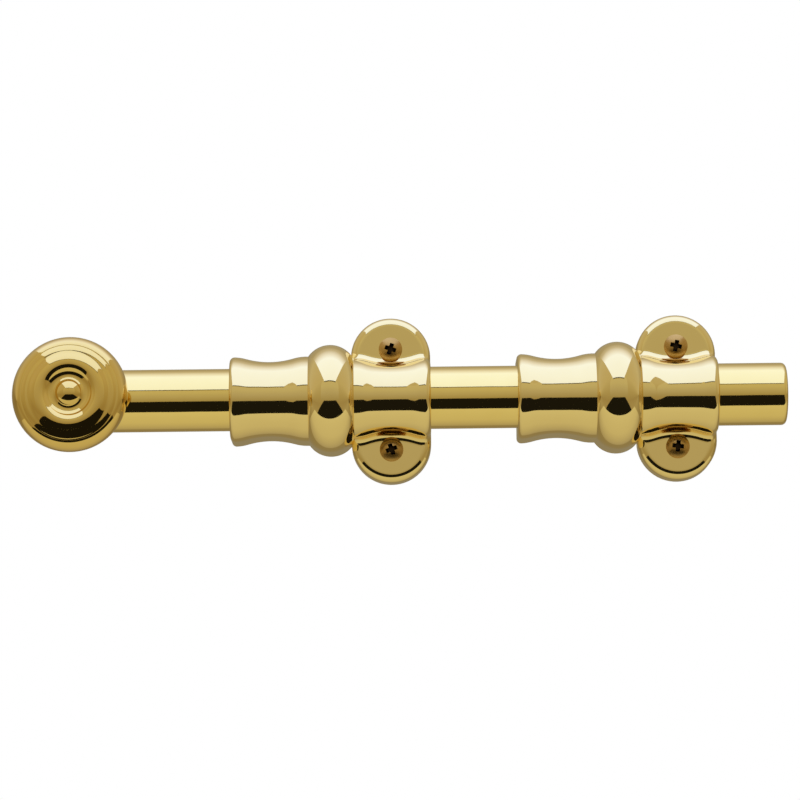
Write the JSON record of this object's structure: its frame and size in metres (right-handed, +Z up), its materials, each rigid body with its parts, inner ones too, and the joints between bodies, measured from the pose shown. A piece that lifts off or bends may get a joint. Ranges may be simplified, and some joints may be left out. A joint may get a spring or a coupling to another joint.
{
  "type": "surface bolt",
  "caption": "Polished brass surface bolt: a round rod with a ringed turned knob slides through cast brackets with an ogee barrel, a bulb and screw ears.",
  "frame": {"origin": "on the door's face, at the middle of the front bracket's screw flange", "axes": "+X along the rod towards its tip, +Y into the door, +Z up; the front looks along -Y"},
  "size_m": [0.1957, 0.0483, 0.0424],
  "materials": {
    "polished_brass": "polished and lacquered",
    "screw_brass": "polished",
    "pin_brass": "machined",
    "spring_steel": "satin"
  },
  "bodies": {
    "mounting": {"rear_bracket": "polished_brass", "front_bracket": "polished_brass", "rear_spring": "spring_steel", "front_spring": "spring_steel", "rear_upper_screw": "screw_brass", "rear_lower_screw": "screw_brass", "front_upper_screw": "screw_brass", "front_lower_screw": "screw_brass"},
    "bolt": {"bolt_rod": "polished_brass", "knob": "polished_brass", "knob_screw": "screw_brass", "stop_pin": "pin_brass"}
  },
  "joints": [
    {"name": "bolt_slide", "type": "slide", "parent": "mounting", "child": "bolt", "axis": [1, 0, 0], "range_m": [-0.0174, 0]}
  ]
}
